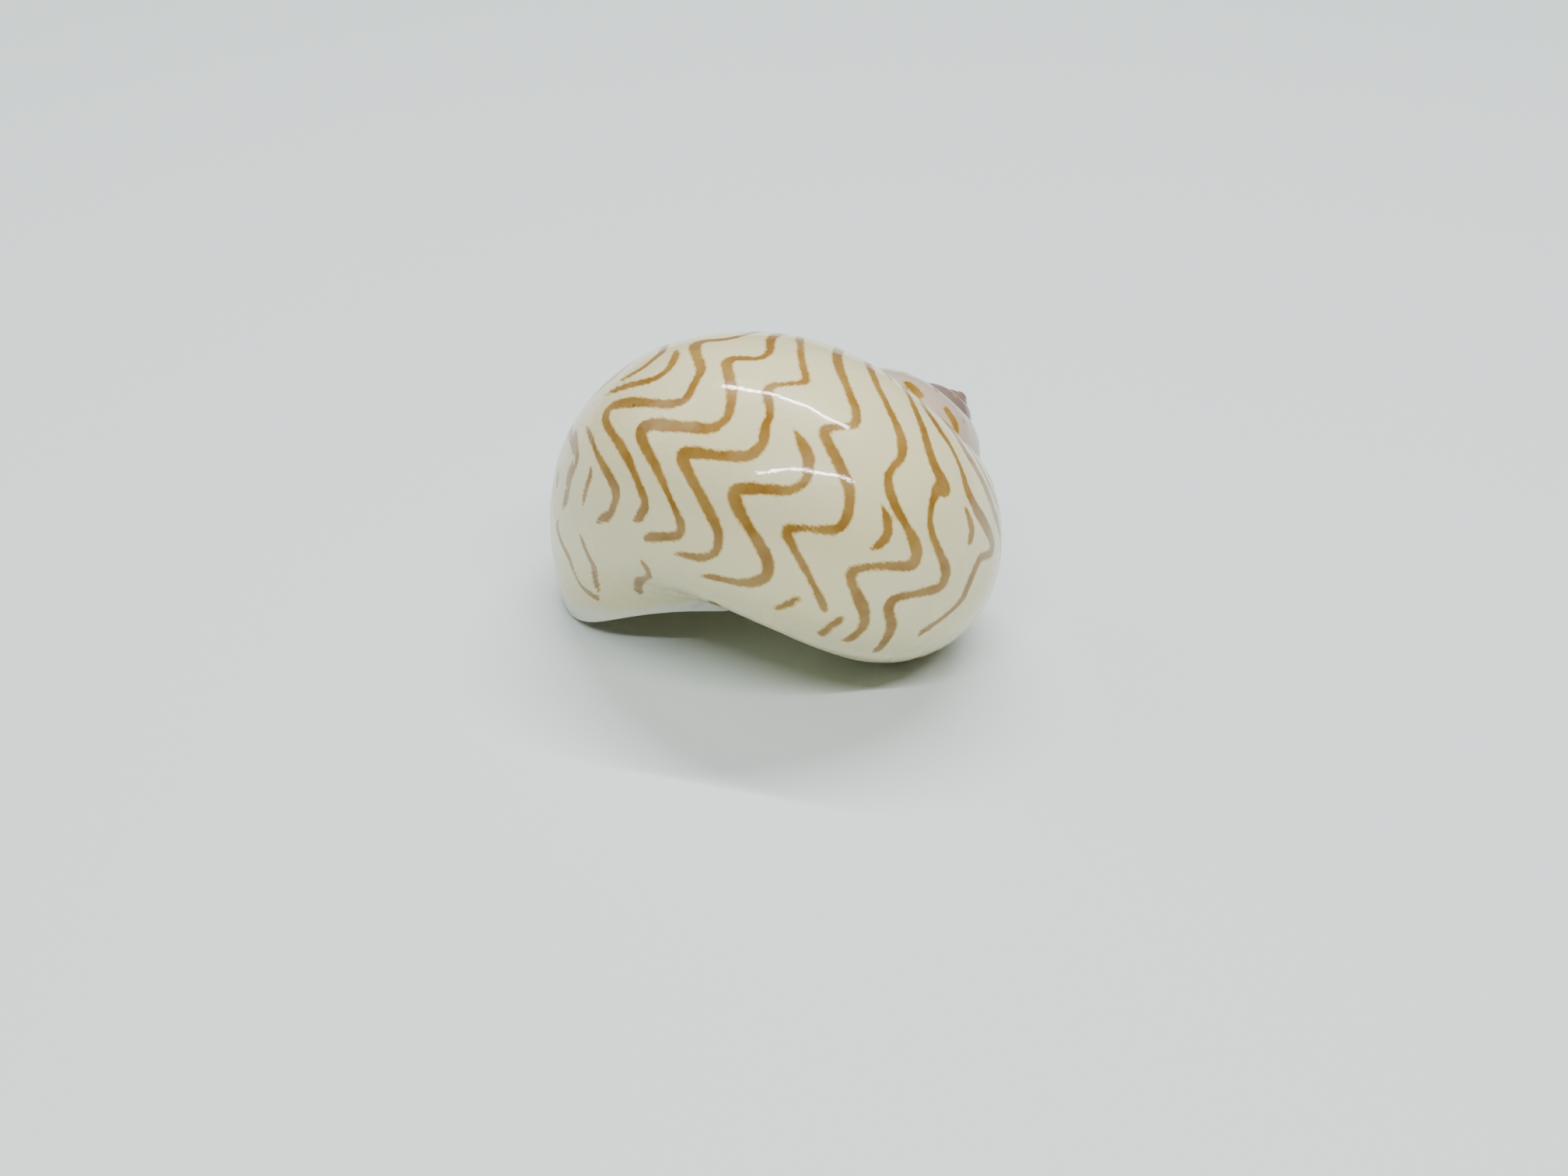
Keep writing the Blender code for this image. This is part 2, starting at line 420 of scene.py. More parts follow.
def use_kept_normals(mesh, attitude):
    """Shades the surface with the normals that its parts had before they were joined."""
    normals = np.empty(3 * len(mesh.loops), np.float32)
    mesh.attributes["smooth_normal"].data.foreach_get("vector", normals)
    normals = normals.reshape(-1, 3) @ np.array(attitude.to_3x3()).T
    mesh.polygons.foreach_set("use_smooth", np.ones(len(mesh.polygons), bool))
    mesh.normals_split_custom_set(normals.tolist())
    mesh.attributes.remove(mesh.attributes["smooth_normal"])


# The surface's sockets, by the short names used here
SOCKETS = {
    "color": "Base Color", "roughness": "Roughness", "normal": "Normal", "gloss": "Specular IOR Level",
    "coat": "Coat Weight", "coat_roughness": "Coat Roughness", "coat_normal": "Coat Normal",
    "glow": "Subsurface Weight", "glow_colors": "Subsurface Radius", "glow_depth": "Subsurface Scale",
}


class Nodes:
    """A new material, with short calls for building its node tree."""

    def __init__(self, name):
        self.material = bpy.data.materials.new(name)
        self.material.use_nodes = True
        self.tree = self.material.node_tree
        self.surface = self.tree.nodes["Principled BSDF"].inputs

    def add(self, kind, values=None, **settings):
        node = self.tree.nodes.new(kind)
        for name, value in settings.items():
            setattr(node, name, value)
        for name, value in (values or {}).items():
            if isinstance(value, bpy.types.NodeSocket):
                self.tree.links.new(value, node.inputs[name])
            else:
                node.inputs[name].default_value = value
        return node

    def math(self, operation, *values):
        return self.add("ShaderNodeMath", dict(enumerate(values)), operation=operation).outputs[0]

    def smooth(self, value, low, high):
        values = {"Value": value, "From Min": low, "From Max": high, "To Min": 0.0, "To Max": 1.0}
        return self.add("ShaderNodeMapRange", values, interpolation_type="SMOOTHSTEP").outputs[0]

    def ramp(self, value, low, high, to_low=0.0, to_high=1.0):
        values = {"Value": value, "From Min": low, "From Max": high, "To Min": to_low, "To Max": to_high}
        return self.add("ShaderNodeMapRange", values).outputs[0]

    def noise(self, vector, scale, detail=2.0, roughness=0.5, seed=0.0):
        values = {"Vector": vector, "W": seed, "Scale": scale, "Detail": detail, "Roughness": roughness}
        return self.add("ShaderNodeTexNoise", values, noise_dimensions="4D").outputs["Fac"]

    def position(self):
        return self.add("ShaderNodeTexCoord").outputs["Object"]

    def mix(self, factor, first, second):
        node = self.add("ShaderNodeMix", data_type="RGBA")
        for socket, value in ((node.inputs[0], factor), (node.inputs[6], first), (node.inputs[7], second)):
            if isinstance(value, bpy.types.NodeSocket):
                self.tree.links.new(value, socket)
            else:
                socket.default_value = value
        return node.outputs[2]

    def bump(self, height, strength, distance):
        values = {"Strength": strength, "Distance": distance, "Height": height}
        return self.add("ShaderNodeBump", values).outputs[0]

    def finish(self, **values):
        """Sets or links sockets of the surface, by their names in small letters, and returns the material."""
        for name, value in values.items():
            socket = self.surface[SOCKETS[name]]
            if isinstance(value, bpy.types.NodeSocket):
                self.tree.links.new(value, socket)
            else:
                socket.default_value = value
        return self.material


# The photograph's viewing point
PHOTO_WIDTH = 2016
PHOTO_HEIGHT = 1512
FOCAL_PIXELS = 2742.6
SENSOR = 36.0
ELEVATION = math.radians(31.03)
DISTANCE = 99.24e-3
LOOKED_AT = Vector((0.56e-3, 2.49e-3, 0))
SHELL_MIDDLE = (1000, 640)
MIRRORED_MIDDLE = (1000, 1000)
AHEAD = Vector((0, math.cos(ELEVATION), -math.sin(ELEVATION)))
VIEWPOINT = LOOKED_AT - AHEAD * DISTANCE

# The lines that the photograph shows: each one's place in the row, counted from the lip back, and the pixels
# it runs through. A place that isn't whole is a short line between two long ones.
LINES = (
    (-1.4, ((854, 452), (828, 473), (799, 489))),
    (-1.4, ((740, 557), (744, 590), (727, 649))),
    (-1.4, ((715, 675), (732, 717), (748, 755), (769, 769))),
    (-0.9, ((870, 456), (862, 473), (841, 489), (782, 506))),
    (-0.9, ((761, 607), (750, 647))),
    (-0.9, ((748, 691), (765, 729), (769, 759))),
    (-0.5, ((757, 553), (769, 586), (795, 633), (786, 662), (769, 670))),
    (0, ((955, 431), (934, 437), (896, 439), (894, 454), (904, 475), (883, 515), (862, 521), (786, 521),
         (778, 527), (778, 544), (807, 586), (820, 620), (833, 649), (820, 670))),
    (1, ((992, 433), (992, 452), (980, 462), (934, 460), (934, 473), (942, 502), (938, 536), (917, 553),
         (862, 548), (824, 544), (822, 561), (841, 595), (862, 641), (877, 675), (875, 691), (828, 691))),
    (1, ((830, 725), (837, 742), (822, 763))),
    (2, ((1030, 443), (1039, 492), (988, 496), (986, 506), (992, 536), (982, 548), (984, 569), (963, 588),
         (913, 586), (875, 578), (875, 590), (908, 649), (925, 687), (921, 712), (900, 719), (875, 712))),
    (3, ((1028, 565), (1041, 586), (1039, 616), (1018, 633), (971, 628), (938, 628), (946, 649), (971, 691),
         (988, 717), (988, 742), (963, 752), (904, 740))),
    (4, ((1075, 460), (1089, 498), (1102, 527), (1102, 548), (1056, 550), (1064, 569), (1081, 599),
         (1094, 633), (1089, 670), (1077, 683), (1005, 677), (1018, 700), (1039, 738), (1062, 784))),
    (4.5, ((1140, 660), (1142, 691), (1123, 706))),
    (5, ((1125, 489), (1140, 519), (1159, 561), (1161, 586), (1140, 611), (1148, 649), (1159, 666))),
    (5, ((1173, 687), (1182, 712), (1173, 729), (1127, 727), (1089, 734), (1098, 759), (1110, 780),
         (1112, 805), (1089, 824))),
    (6, ((1165, 503), (1175, 522), (1188, 553), (1195, 580), (1203, 603), (1211, 625), (1223, 637))),
    (6, ((1208, 622), (1200, 640), (1196, 660), (1196, 680), (1205, 705), (1218, 734), (1211, 755),
         (1148, 769), (1140, 784), (1148, 805), (1127, 837))),
    (6.5, ((1243, 658), (1251, 679), (1247, 696))),
    (7, ((1182, 506), (1205, 548), (1222, 573), (1235, 600), (1245, 635), (1257, 660), (1270, 680),
         (1277, 698), (1275, 712), (1260, 715), (1249, 742), (1237, 771), (1182, 814))),
    (8, ((1230, 562), (1245, 588), (1260, 612), (1275, 650), (1286, 690))),
)

# Short marks seen directly: three on the base, and three beside the suture of the spire
SHORT_MARKS = (
    ((1000, 782), (1012, 777), (1025, 770)),
    ((1057, 815), (1066, 806), (1079, 797)),
    ((893, 780), (905, 774), (919, 776)),
    ((1217, 527), (1228, 545), (1240, 568)),
    ((1137, 479), (1147, 489)),
    ((1169, 494), (1176, 501), (1182, 508)),
)

# Short marks of the underside, traced from its mirror image below the shell
MIRRORED_MARKS = (
    ((750, 970), (760, 948), (780, 955), (785, 975), (786, 1015), (779, 1030)),
    ((834, 1025), (843, 1045), (849, 1070), (849, 1095)),
    ((893, 1050), (905, 1055), (920, 1065), (905, 1080), (905, 1092), (920, 1105)),
    ((955, 1072), (975, 1077), (990, 1082), (1015, 1085)),
    ((960, 1047), (970, 1048)),
    ((995, 1042), (1020, 1032), (1040, 1029), (1060, 1025)),
    ((1045, 977), (1065, 976), (1082, 974)),
    ((1092, 955), (1102, 952)),
    ((1075, 1072), (1092, 1057), (1112, 1052), (1127, 1060), (1132, 1080), (1125, 1105), (1120, 1145),
     (1140, 1142)),
    ((1085, 1090), (1095, 1100), (1094, 1125), (1087, 1150)),
    ((1050, 1112), (1055, 1125), (1060, 1135)),
    ((1002, 1130), (1005, 1145), (1015, 1147)),
    ((925, 1152), (945, 1155), (965, 1160)),
    ((1045, 1155), (1037, 1170), (1027, 1180)),
    ((1135, 1005), (1150, 1010)),
    ((1165, 1005), (1169, 1030), (1165, 1060), (1162, 1090), (1180, 1080), (1200, 1072), (1210, 1072)),
    ((1147, 925), (1155, 915), (1170, 920), (1182, 950), (1187, 990), (1195, 1020), (1200, 1035),
     (1215, 1017), (1227, 1030)),
    ((1142, 875), (1155, 867), (1165, 872), (1180, 890), (1192, 920), (1207, 950), (1220, 945), (1220, 930),
     (1230, 917), (1245, 925)),
    ((1155, 845), (1180, 855), (1200, 875), (1215, 880)),
    ((1067, 935), (1075, 917), (1085, 900), (1105, 885), (1112, 882)),
    ((1062, 890), (1070, 872), (1082, 862)),
    ((1152, 963), (1155, 966)),
    ((1225, 972), (1242, 980)),
)

# The course of the lines where the photograph doesn't show them: how far a line runs ahead at each angle
# around the whorl, both in degrees. ZIGZAG_DEPTH: two places in the row, and how deep the steps are there.
ZIGZAG = (
    (-180, 20), (-140, 35), (-123, 18), (-112, 4), (-102, -10), (-93, -4), (-86, -8), (-78, -17), (-68, -26),
    (-60, -24), (-50, -14), (-43, -4), (-39, 0), (-34, -6), (-26, -14), (-16, -14), (-8, -8), (0, 4), (5, 8),
    (13, 4), (21, 8), (30, 19), (45, 37), (60, 55), (90, 90), (180, 120),
)
ZIGZAG_DEPTH = ((0, 8), (1.27, 0.75))
WANDER = 1.6
WANDER_WAVES = (2, 5, 9)
SEED = 5

# The row of lines: places in it, and turns and angles in degrees
FIRST_LINE = -6
LAST_LINE = 85
LEFT_OUT = {-1}
LINE_SPACING = 16.4
LINE_START = -69.0
LINE_GAP = 2.5
SHIFT_REACH = 45.0
CORNER_ROUNDING = 2.6
BEND_REACH = 5.0
SHARP_BEND = 1.1
END_TAPER = 1.8
RISING_LINES = (-1.4, 0, 1, 2, 4, 5, 6, 7, 8)
LAST_WHORL = -324.0
LINES_FROM = -68.0
LINES_TO = 118.0
BROKEN_BELOW = -40.0
BASE_GAPS = 0.45
SPIRE_FROM = 45.0
SPIRE_GAPS = 0.72
ONE_LAP_APART = 90.0

# Widths and distances of the markings, in millimetres. A line has STRAIGHT_SHARE of its width where it runs
# straight, and BEND_SHARE more at a sharp bend. MESH_SAG is taken off the squared distance, to make up for
# the values between the mesh's points, which run straight from one to the next.
HALF_LINE = 0.23
STRAIGHT_SHARE = 0.80
BEND_SHARE = 0.75
HALF_MARK = 0.21
LEAST_HALF = 0.03
BARELY_DRAWN = 0.01
FAR = 2.0
MARK_STEP = 0.04
MESH_SAG = 0.006

# Colours, and the speck's pixel and size
GROUND = (0.74, 0.67, 0.38, 1)
GROUND_COOL = (0.67, 0.64, 0.42, 1)
LINE_CORE = (0.235, 0.118, 0.014, 1)
LINE_EDGE = (0.58, 0.40, 0.11, 1)
LIP_WHITE = (0.74, 0.76, 0.68, 1)
SPECK_COLOR = (0.10, 0.10, 0.05, 1)
SPECK_PIXEL = (815, 521)
SPECK_SIZE = 0.13e-3
SPIRE = (0.46, 0.36, 0.31, 1)
SPIRE_TIP = (0.20, 0.14, 0.12, 1)
INSIDE_GROUND = (0.84, 0.74, 0.40, 1)
INSIDE_PALE = (0.86, 0.79, 0.50, 1)
INSIDE_LINES = (0.60, 0.42, 0.16, 1)
CALLUS_GROUND = (0.80, 0.78, 0.66, 1)
CALLUS_PALE = (0.86, 0.84, 0.75, 1)
FLOOR_COLOR = (0.66, 0.74, 0.73, 1)


class Seen:
    """Finds the place on the shell that the camera sees at a pixel of the photograph."""

    def __init__(self, mesh):
        self.mesh = mesh
        self.tree = BVHTree.FromPolygons([vertex.co for vertex in mesh.vertices],
                                         [face.vertices for face in mesh.polygons])
        self.coil = mesh.uv_layers["coil"].data

    def ray(self, across, down, mirrored):
        upward = Vector((0, math.sin(ELEVATION), math.cos(ELEVATION)))
        start = VIEWPOINT.copy()
        ahead = AHEAD * FOCAL_PIXELS + upward * (PHOTO_HEIGHT / 2 - down)
        ahead.x = across - PHOTO_WIDTH / 2
        if mirrored:
            start.z, ahead.z = -start.z, -ahead.z
        return start, ahead

    def is_hidden(self, spot):
        """True where the shell itself hides a point of its surface from the camera."""
        hit = self.tree.ray_cast(VIEWPOINT, spot - VIEWPOINT)[0]
        return hit is not None and (hit - spot).length > 0.3e-3

    def place(self, pixel, mirrored=False):
        """Turn and angle in degrees, and the point. A pixel just off the shell is drawn in to it."""
        middle = Vector(MIRRORED_MIDDLE if mirrored else SHELL_MIDDLE)
        for step in range(20):
            across, down = Vector(pixel).lerp(middle, step / 80)
            spot, _, face, _ = self.tree.ray_cast(*self.ray(across, down, mirrored))
            if spot is not None:
                break
        corners = self.mesh.polygons[face]
        weights = poly_3d_calc([self.mesh.vertices[index].co for index in corners.vertices], spot)
        shares = [self.coil[loop].uv * weight for loop, weight in zip(corners.loop_indices, weights)]
        turn, angle = sum(shares, Vector((0, 0)))
        return 360 * turn, 360 * angle, spot


def smoothed(values, reach):
    """Values at even steps, with their corners rounded off."""
    steps = np.arange(-15, 16)
    weights = np.exp(-(steps / reach) ** 2)
    return np.convolve(np.pad(values, 15, mode="edge"), weights / weights.sum(), mode="valid")


def seen_lines(seen, angles):
    """Turns of the lines followed in the photograph, at whole degrees of angle, by their place in the row."""
    found = {}
    for number, pixels in LINES:
        places = sorted((angle, turn) for turn, angle, _ in map(seen.place, pixels) if turn > LAST_WHORL)
        at = [angle for angle, _ in places]
        inside = (angles >= at[0]) & (angles <= at[-1])
        course = np.where(inside, np.interp(angles, at, [turn for _, turn in places]), np.nan)
        known = found.setdefault(number, np.full(len(angles), np.nan))
        known[inside] = course[inside]
    return found


def plain_course(number, angles, chance):
    """The turn of one line at each angle by the formula, with a slow wander of its own."""
    plain = smoothed(np.interp(angles, *zip(*ZIGZAG)), 3.0)
    depth = np.interp(number, *ZIGZAG_DEPTH)
    depth = depth + (1 - depth) * np.clip((angles - 10) / 20, 0, 1)
    phases = chance.uniform(0, FULL_TURN, 3)
    wander = sum(np.sin(np.radians(angles) * times + phase) for times, phase in zip(WANDER_WAVES, phases))
    return LINE_START - number * LINE_SPACING + plain * depth + WANDER * wander


def drawn_by_formula(course, angles, gaps):
    """Where a line that isn't seen is drawn: broken on the base, and in short marks on the spire."""
    drawn = ((angles > LINES_FROM) & (angles < LINES_TO)).astype(float)
    drawn *= np.where(angles < BROKEN_BELOW, gaps > BASE_GAPS, 1)
    side = course[angles == 0][0]
    if side < LAST_WHORL:
        smaller = math.exp(GROWTH_RATE * math.radians(side - LAST_WHORL))
        drawn *= ((angles > SPIRE_FROM) & (gaps > SPIRE_GAPS)) * smaller ** 0.7
    return drawn


def draw_lines(seen):
    """The row of lines: at whole degrees of angle, the turn of each and half its width in millimetres."""
    angles = np.arange(-180.0, 181.0)
    found = seen_lines(seen, angles)
    numbers = sorted((set(found) | set(range(FIRST_LINE, LAST_LINE + 1))) - LEFT_OUT)
    chance = np.random.default_rng(SEED)
    turns = np.empty((len(numbers), len(angles)))
    widths = np.empty_like(turns)
    fixed = np.zeros(turns.shape, bool)
    for row, number in enumerate(numbers):
        course = plain_course(number, angles, chance)
        gaps = np.interp(angles, np.linspace(-180, 180, 25), chance.uniform(0, 1, 25))
        known = found.get(number)
        if known is None:
            drawn = drawn_by_formula(course, angles, gaps)
        else:
            here = ~np.isnan(known)
            shift = np.interp(angles, angles[here], (known - course)[here])
            away = np.abs(angles[:, None] - angles[here][None, :]).min(axis=1)
            course = course + shift * np.exp(-(away / SHIFT_REACH) ** 2)
            fixed[row] = here
            drawn = here.astype(float)
            if number in RISING_LINES:
                drawn[angles > angles[here].max()] = 1
                drawn[angles > LINES_TO] = 0
        turns[row] = smoothed(course, CORNER_ROUNDING)
        bend = smoothed(np.abs(course - turns[row]), BEND_REACH)
        swell = STRAIGHT_SHARE + BEND_SHARE * np.clip(bend / SHARP_BEND, 0, 1)
        widths[row] = HALF_LINE * swell * smoothed(drawn, END_TAPER) ** 0.7
    keep_apart(turns, widths > BARELY_DRAWN, fixed)
    return angles, turns, widths


def keep_apart(turns, drawn, fixed):
    """Moves lines apart where they come too close, unless the photograph holds them in place."""
    for column in range(turns.shape[1]):
        shown = np.flatnonzero(drawn[:, column])
        pairs = list(zip(shown, shown[1:]))
        for before, row in pairs:
            if not fixed[row, column]:
                turns[row, column] = min(turns[row, column], turns[before, column] - LINE_GAP)
        for row, after in reversed(pairs):
            if not fixed[row, column]:
                turns[row, column] = max(turns[row, column], turns[after, column] + LINE_GAP)


def outer_points(turns, angles):
    """Places on the outer surface, in metres, from turn and angle in degrees."""
    return whorl_point(np.radians(turns), *section(np.radians(angles)))


def tree_of(points):
    """A tree that finds the nearest of many points."""
    tree = KDTree(len(points))
    for index, point in enumerate(points):
        tree.insert(point, index)
    tree.balance()
    return tree


def nearest_line(seen, turns, angles):
    """For each place of the coil: the squared distance from the nearest line, and half the line's width.

    The distance is kept squared, because that stays smooth across the middle of a line.
    """
    whole, line_turns, line_widths = draw_lines(seen)
    fine = np.arange(-180.0, 180.0, 0.1)
    along = np.array([np.interp(fine, whole, row) for row in line_turns]).ravel()
    half = np.array([np.interp(fine, whole, row) for row in line_widths]).ravel()
    around = np.tile(fine, len(line_turns))
    shown = half > LEAST_HALF
    along, half, around = along[shown], half[shown], around[shown]
    tree = tree_of(outer_points(along, around))
    squared = np.full(len(turns), FAR ** 2)
    widths = np.zeros(len(turns))
    for place, spot in enumerate(outer_points(turns, angles)):
        _, index, distance = tree.find(spot)
        if abs(along[index] - turns[place]) < ONE_LAP_APART:
            squared[place] = min(1e3 * distance, FAR) ** 2 - MESH_SAG
            widths[place] = half[index]
    return squared, widths


def short_marks(seen):
    """Points along the short marks, close together."""
    spots = []
    for pixels in SHORT_MARKS + MIRRORED_MARKS:
        mirrored = pixels in MIRRORED_MARKS
        ends = [seen.place(pixel, mirrored)[2] for pixel in pixels]
        for first, second in zip(ends, ends[1:]):
            steps = max(2, int(1e3 * (second - first).length / MARK_STEP))
            along = [first.lerp(second, step / steps) for step in range(steps + 1)]
            spots += [spot for spot in along if not mirrored or seen.is_hidden(spot)]
    return spots


def lay_out_markings(mesh, seen):
    """Keeps on each face corner how far the lines and short marks are, and half the nearest line's width."""
    corners = np.round(corner_coil(mesh) * 360.0, 3)
    places, corner_place = np.unique(corners, axis=0, return_inverse=True)
    corner_place = corner_place.ravel()
    squared, half_width = nearest_line(seen, places[:, 0], places[:, 1])
    keep_on_corners(mesh, "lines", squared[corner_place], half_width[corner_place])
    marks = tree_of(short_marks(seen))
    squared = np.array([min(1e3 * marks.find(vertex.co)[2], FAR) ** 2 for vertex in mesh.vertices])
    squared = squared[corner_vertices(mesh)]
    keep_on_corners(mesh, "marks", squared, squared)


def lay_out_lip(mesh):
    """Keeps on each face corner its distance from the lip in millimetres, and its share of the callus."""
    turns, angles = corner_coil(mesh).T * FULL_TURN
    radius, _ = section(angles)
    away = (lip_lean(angles) - turns) * radius * np.exp(GROWTH_RATE * turns) * 1e3
    keep_on_corners(mesh, "lip", np.clip(away, -1, 9), callus(turns, angles) / CALLUS_HEIGHT)


def two_values(nodes, name):
    """The two values that a layer keeps on the face corners."""
    layer = nodes.add("ShaderNodeUVMap", uv_map=name).outputs[0]
    parts = nodes.add("ShaderNodeSeparateXYZ", {"Vector": layer})
    return parts.outputs["X"], parts.outputs["Y"]


def growth_noise(nodes, along, around, scale, detail, roughness, seed):
    """Noise drawn out from suture to base, as growth leaves it."""
    laps, rounds = two_values(nodes, "coil")
    across = nodes.math("MULTIPLY", laps, 360.0 * along)
    down = nodes.math("MULTIPLY", rounds, 360.0 * around)
    place = nodes.add("ShaderNodeCombineXYZ", {"X": across, "Y": down}).outputs[0]
    return nodes.noise(place, scale, detail, roughness, seed)


def from_lines(nodes):
    """How far a point lies inside the nearest line and the nearest short mark, and half the line's width."""
    from_line, half_width = two_values(nodes, "lines")
    from_mark, _ = two_values(nodes, "marks")
    line_edge = nodes.math("SUBTRACT", half_width, nodes.math("SQRT", nodes.math("MAXIMUM", from_line, 0.0)))
    mark_edge = nodes.math("SUBTRACT", HALF_MARK, nodes.math("SQRT", nodes.math("MAXIMUM", from_mark, 0.0)))
    return line_edge, mark_edge, half_width


def marking(nodes):
    """How much a point is core and edge of a line or mark, and how much the outline swells there."""
    position = nodes.position()
    line_edge, mark_edge, half_width = from_lines(nodes)
    swell = nodes.ramp(nodes.noise(position, 450.0, detail=1.0, seed=3.1), 0.3, 0.7, -0.07, 0.07)
    ragged = nodes.ramp(nodes.noise(position, 4200.0, seed=5.0), 0.2, 0.8, -0.05, 0.05)
    loose = nodes.math("ADD", swell, ragged)
    line_edge = nodes.math("ADD", line_edge, loose)
    mark_edge = nodes.math("ADD", mark_edge, nodes.math("MULTIPLY", loose, 1.3))
    present = nodes.smooth(half_width, 0.02, 0.08)
    core = nodes.math("MULTIPLY", nodes.smooth(line_edge, -0.02, 0.07), present)
    edge = nodes.math("MULTIPLY", nodes.smooth(line_edge, -0.08, 0.01), present)
    core = nodes.math("MAXIMUM", core, nodes.smooth(mark_edge, -0.02, 0.09))
    edge = nodes.math("MAXIMUM", edge, nodes.smooth(mark_edge, -0.10, 0.01))
    return core, edge, swell


def ground_color(nodes):
    """Cream with cooler clouds, turning to the spire's grey and its dark tip."""
    turn = nodes.math("MULTIPLY", two_values(nodes, "coil")[0], 360.0)
    cloud = nodes.noise(nodes.position(), 220.0, detail=3.0, seed=2.0)
    bands = growth_noise(nodes, 0.05, 0.004, 1.0, 3.0, 0.5, 8.0)
    cool = nodes.math("MULTIPLY", nodes.ramp(nodes.math("ADD", cloud, bands), 0.7, 1.3), 0.55)
    color = nodes.mix(cool, GROUND, GROUND_COOL)
    spire = nodes.smooth(turn, -300.0, -420.0)
    color = nodes.mix(nodes.math("MULTIPLY", spire, 0.85), color, SPIRE)
    return nodes.mix(nodes.smooth(turn, -560.0, -860.0), color, SPIRE_TIP)


def with_speck(nodes, color, speck):
    """The one small dark speck."""
    position = nodes.position()
    away = nodes.add("ShaderNodeVectorMath", {0: position, 1: speck}, operation="DISTANCE").outputs["Value"]
    uneven = nodes.ramp(nodes.noise(position, 9000.0, seed=12.0), 0.2, 0.8, -6e-5, 6e-5)
    inside = nodes.smooth(nodes.math("ADD", away, uneven), SPECK_SIZE, SPECK_SIZE * 0.5)
    return nodes.mix(inside, color, SPECK_COLOR)


def pattern_material(speck):
    """The glossy outside with its lines, marks, white lip and callus."""
    nodes = Nodes("shell_outside")
    position = nodes.position()
    core, edge, swell = marking(nodes)
    color = nodes.mix(nodes.math("MULTIPLY", edge, 0.8), ground_color(nodes), LINE_EDGE)
    depth = nodes.ramp(nodes.noise(position, 900.0, seed=31.0), 0.3, 0.7, 0.72, 1.0)
    color = nodes.mix(nodes.math("MULTIPLY", core, depth), color, LINE_CORE)
    from_lip, pad = two_values(nodes, "lip")
    margin = nodes.smooth(nodes.math("ADD", from_lip, nodes.math("MULTIPLY", swell, 6.0)), 1.3, 0.35)
    whitened = nodes.math("MAXIMUM", nodes.math("MULTIPLY", margin, 0.8), nodes.smooth(pad, 0.08, 0.4))
    color = with_speck(nodes, nodes.mix(whitened, color, LIP_WHITE), speck)
    striae = growth_noise(nodes, 1.0, 0.02, 1.6, 4.0, 0.65, 4.0)
    grain = nodes.noise(position, 3800.0, seed=6.0)
    glints = nodes.noise(position, 9000.0, seed=14.0)
    dull = nodes.noise(position, 500.0, detail=3.0, seed=9.0)
    return nodes.finish(
        color=color, roughness=nodes.ramp(dull, 0.3, 0.7, 0.20, 0.32),
        normal=nodes.bump(nodes.math("MULTIPLY_ADD", grain, 2.4, striae), 0.22, 0.03e-3),
        gloss=0.12, coat=0.55, coat_roughness=0.012, coat_normal=nodes.bump(glints, 0.18, 0.012e-3),
        glow=0.15, glow_colors=(1.0, 0.62, 0.36), glow_depth=0.35e-3)


def inside_material():
    """The inside of the mouth, where the lines show through faintly."""
    nodes = Nodes("shell_inside")
    line_edge, _, half_width = from_lines(nodes)
    through = nodes.math("MULTIPLY", nodes.smooth(line_edge, -0.5, 0.15), nodes.smooth(half_width, 0.0, 0.1))
    cloud = nodes.noise(nodes.position(), 350.0, detail=3.0, seed=14.0)
    color = nodes.mix(cloud, INSIDE_GROUND, INSIDE_PALE)
    color = nodes.mix(nodes.math("MULTIPLY", through, 0.36), color, INSIDE_LINES)
    striae = growth_noise(nodes, 0.5, 0.02, 1.5, 3.0, 0.5, 4.0)
    return nodes.finish(
        color=color, roughness=nodes.ramp(cloud, 0.3, 0.7, 0.24, 0.36),
        normal=nodes.bump(striae, 0.1, 0.03e-3), coat=0.4, coat_roughness=0.1,
        glow=0.2, glow_colors=(1.0, 0.7, 0.4), glow_depth=0.35e-3)


def callus_material():
    """The polished white glaze between mouth and spire."""
    nodes = Nodes("shell_callus")
    cloud = nodes.noise(nodes.position(), 300.0, detail=3.0)
    color = nodes.mix(cloud, CALLUS_GROUND, CALLUS_PALE)
    return nodes.finish(color=color, roughness=0.22, coat=0.5, coat_roughness=0.08)


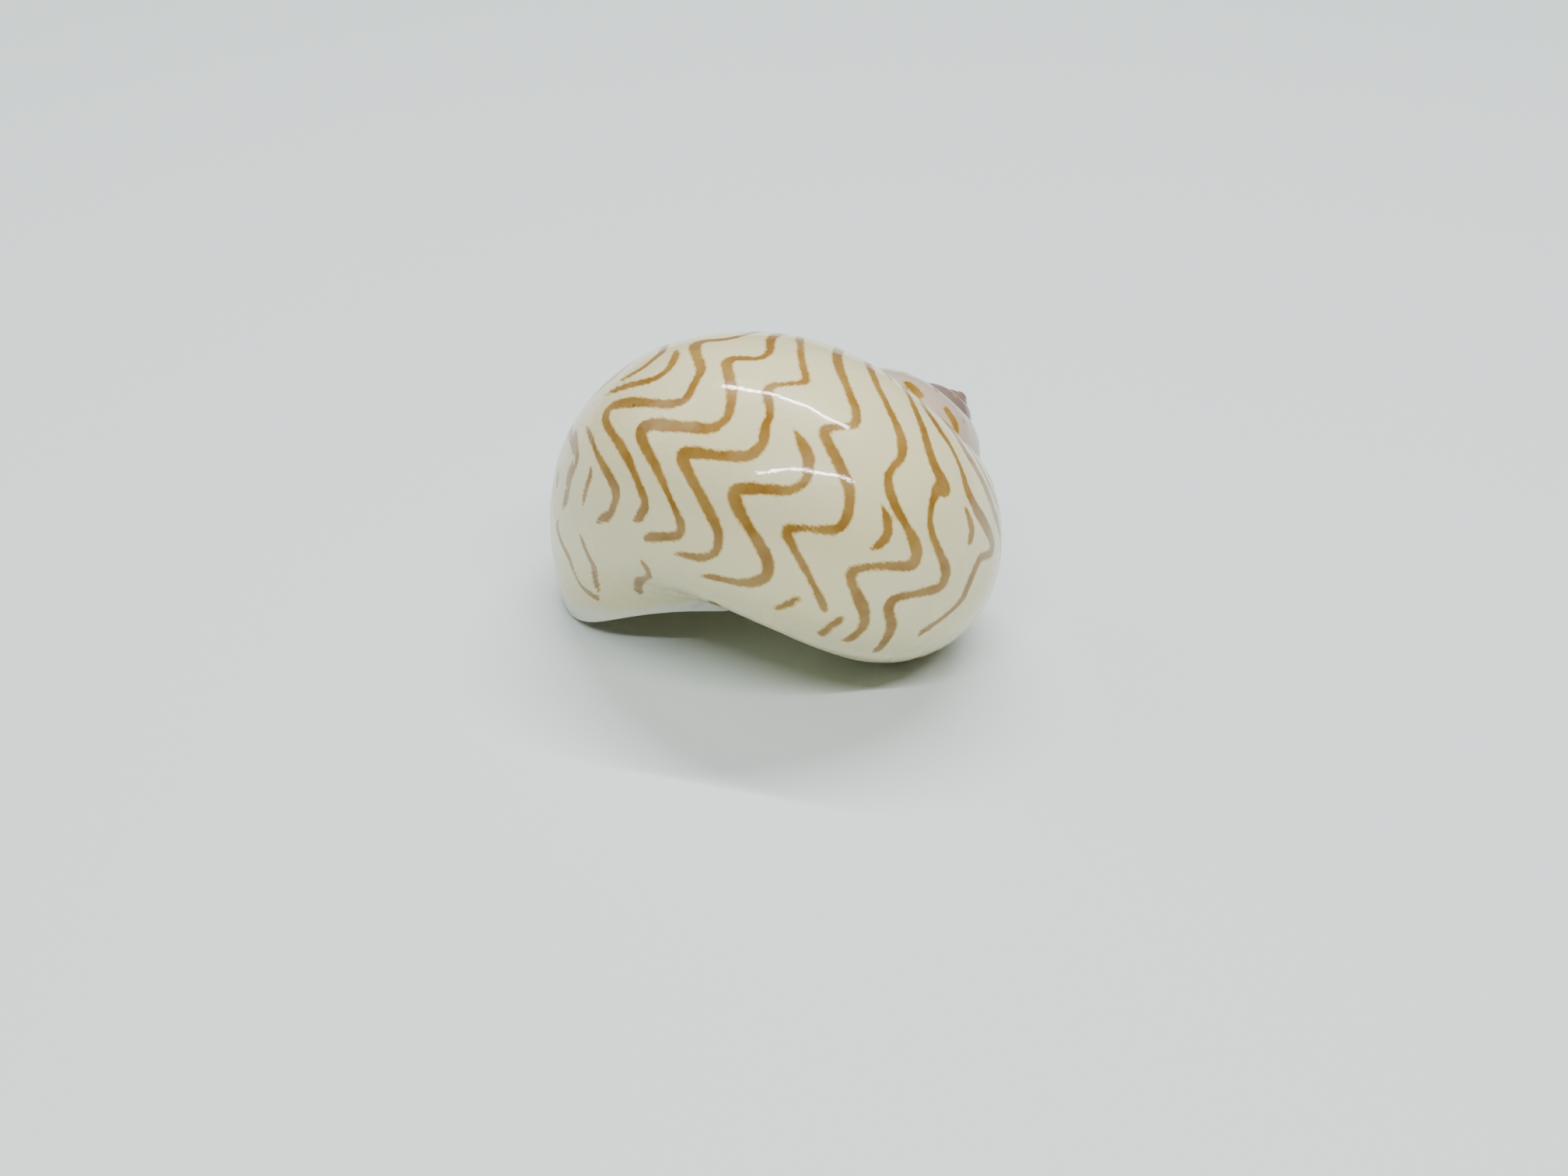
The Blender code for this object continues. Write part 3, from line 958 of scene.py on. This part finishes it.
def add_floor():
    bpy.ops.mesh.primitive_plane_add(size=1.2, location=(0, 0, 0))
    floor = bpy.context.object
    floor.name = "floor"
    floor.data.materials.append(Nodes("floor").finish(color=FLOOR_COLOR, roughness=0.6))


def add_light(name, place, size, power, color=(1, 1, 1)):
    """A flat lamp that points at the shell."""
    light = bpy.data.lights.new(name, "AREA")
    light.shape = "RECTANGLE"
    light.size, light.size_y = size
    light.energy = power
    light.color = color
    holder = bpy.data.objects.new(name, light)
    holder.location = place
    holder.rotation_euler = (-Vector(place)).to_track_quat("-Z", "Y").to_euler()
    bpy.context.scene.collection.objects.link(holder)


def add_lights():
    world = bpy.data.worlds.new("studio")
    world.use_nodes = True
    background = world.node_tree.nodes["Background"].inputs
    background["Color"].default_value = (0.86, 0.88, 0.88, 1)
    background["Strength"].default_value = 0.17
    bpy.context.scene.world = world
    add_light("key", (-0.30, 0.10, 0.26), (0.20, 0.20), 0.3, (1.0, 0.97, 0.92))
    add_light("far_tube", (0.035, 0.115, 0.30), (0.30, 0.008), 1.4)
    add_light("near_tube", (0.03, -0.195, 0.30), (0.34, 0.008), 1.4)


def add_camera():
    camera = bpy.data.cameras.new("camera")
    camera.sensor_width = SENSOR
    camera.lens = FOCAL_PIXELS / PHOTO_WIDTH * SENSOR
    camera.clip_start = 0.002
    holder = bpy.data.objects.new("camera", camera)
    holder.location = VIEWPOINT
    holder.rotation_euler = (math.pi / 2 - ELEVATION, 0, 0)
    bpy.context.scene.collection.objects.link(holder)
    bpy.context.scene.camera = holder


def main():
    mesh = joined_shell()
    mark_parietal_wall(mesh)
    attitude = lay_down(mesh)
    seen = Seen(mesh)
    speck = seen.place(SPECK_PIXEL)[2]
    lay_out_markings(mesh, seen)
    lay_out_lip(mesh)
    use_kept_normals(mesh, attitude)
    kinds = face_kinds(mesh)
    mesh.materials.clear()
    for material in (pattern_material(speck), inside_material(), callus_material()):
        mesh.materials.append(material)
    mesh.polygons.foreach_set("material_index", SLOT_OF_KIND[kinds])
    shell = bpy.data.objects.new("shell_surface", mesh)
    bpy.context.scene.collection.objects.link(shell)
    return shell


add_camera()
add_lights()
add_floor()
shell = main()
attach(shell, "root")
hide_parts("shell")
